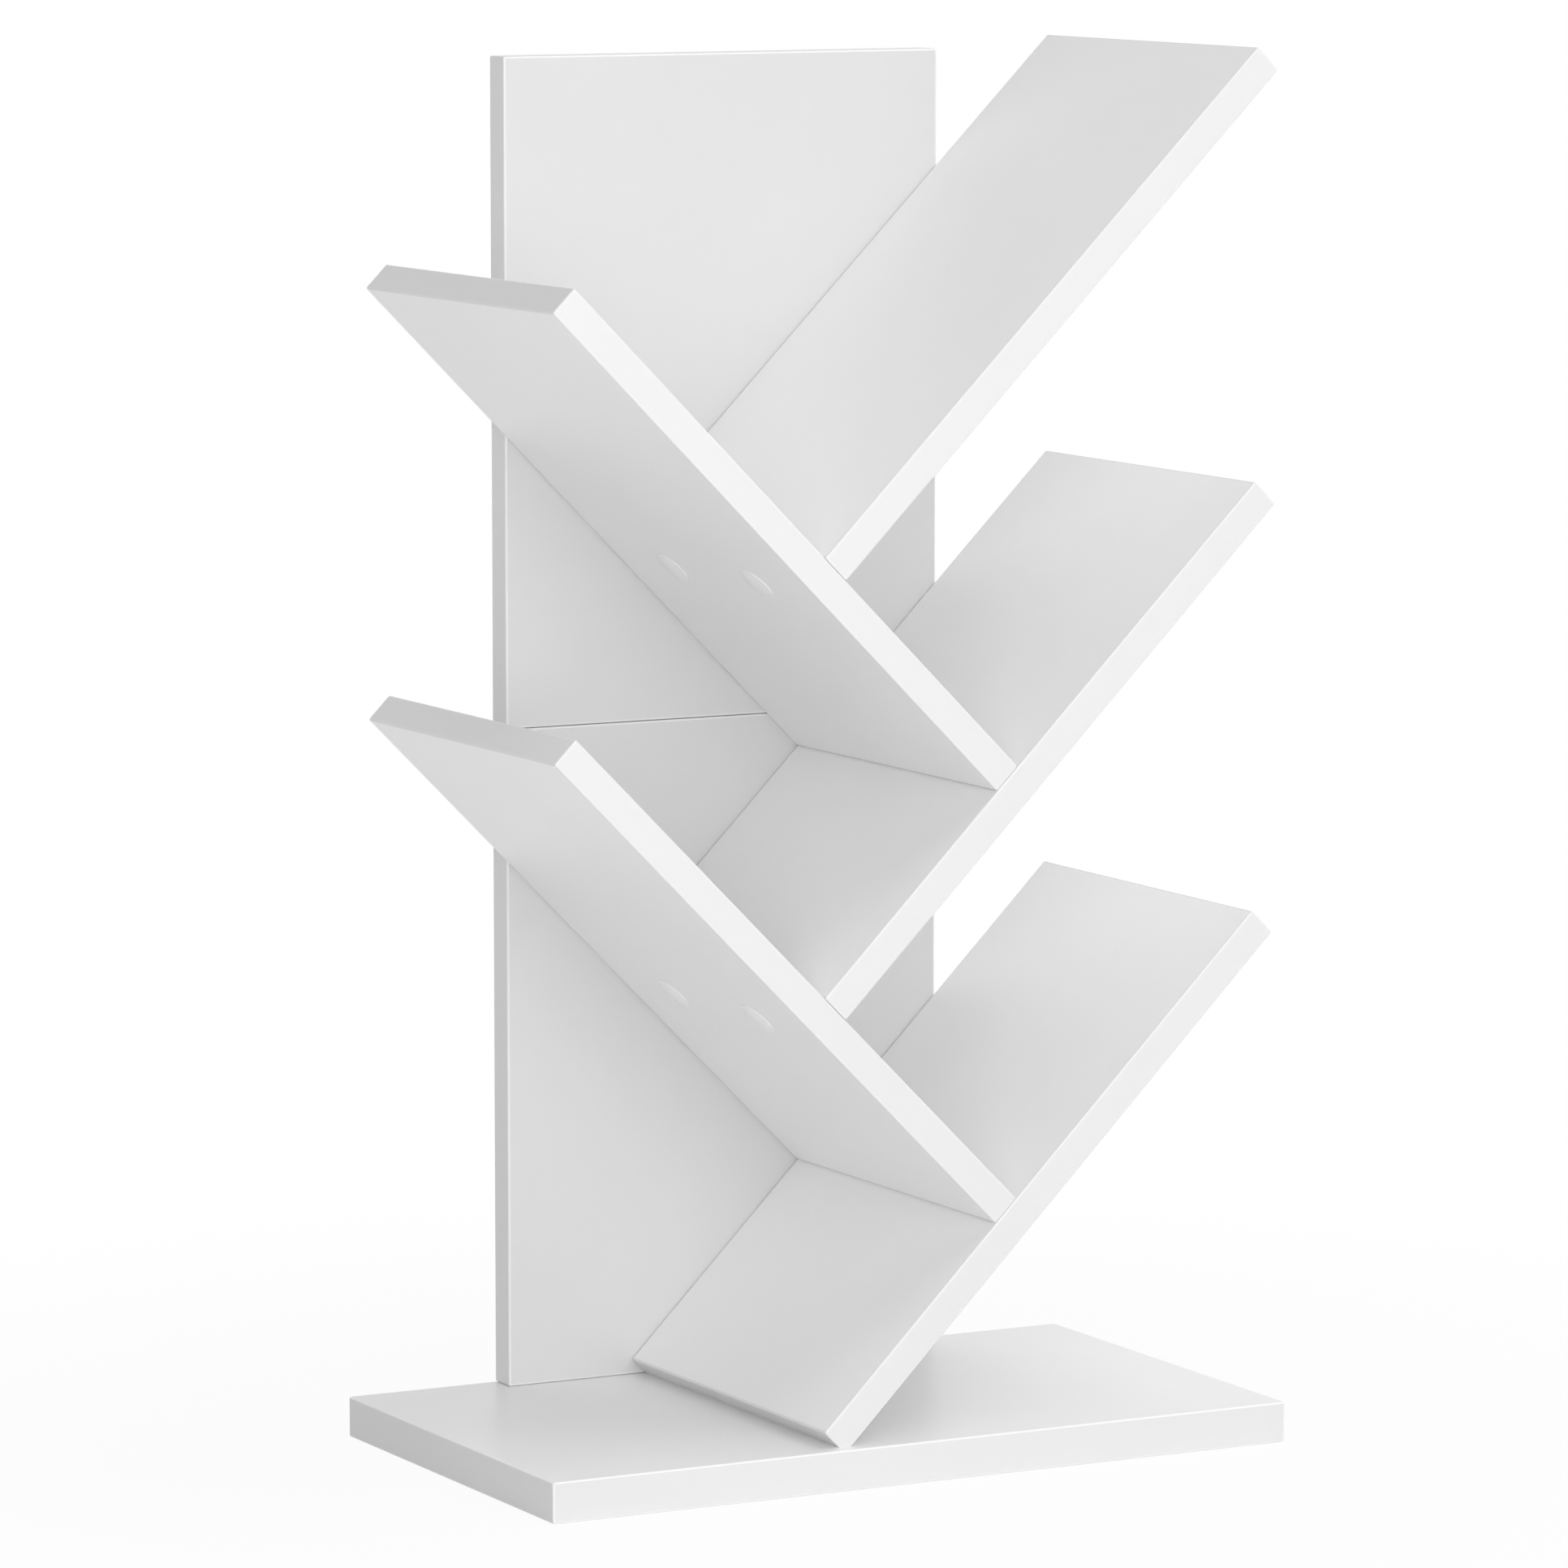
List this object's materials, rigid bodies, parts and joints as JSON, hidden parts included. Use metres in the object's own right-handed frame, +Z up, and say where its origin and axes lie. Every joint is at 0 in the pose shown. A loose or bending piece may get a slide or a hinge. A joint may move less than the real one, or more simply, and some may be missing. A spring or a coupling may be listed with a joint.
{
  "type": "tree shaped bookshelf",
  "caption": "Desktop bookshelf shaped like a tree: leaning shelves zigzag up a two board back on a flat base, their screws hidden by round covers.",
  "frame": {"origin": "middle of the base board's underside", "axes": "+X to the right seen from the front, -Y out of the front, +Z up"},
  "size_m": [0.3, 0.17, 0.5113],
  "materials": {
    "board": "satin white melamine on fibreboard, edges wrapped and rounded",
    "cover": "satin white moulded plastic",
    "screw": "bright zinc plating",
    "dowel": "plain beech"
  },
  "bodies": {
    "root": {"base_board": "board", "lower_back_board": "board", "upper_back_board": "board", "bottom_right_shelf": "board", "lower_left_shelf": "board", "middle_right_shelf": "board", "upper_left_shelf": "board", "top_right_shelf": "board", "base_dowels": "dowel", "back_board_dowels": "dowel", "base_screws": "screw", "bottom_right_back_screws": "screw", "lower_left_back_screws": "screw", "middle_right_back_screws": "screw", "upper_left_back_screws": "screw", "top_right_back_screws": "screw", "lower_left_joint_screws": "screw", "middle_right_joint_screws": "screw", "upper_left_joint_screws": "screw", "top_right_joint_screws": "screw", "lower_left_screw_covers": "cover", "middle_right_screw_covers": "cover", "upper_left_screw_covers": "cover", "top_right_screw_covers": "cover"}
  },
  "joints": []
}
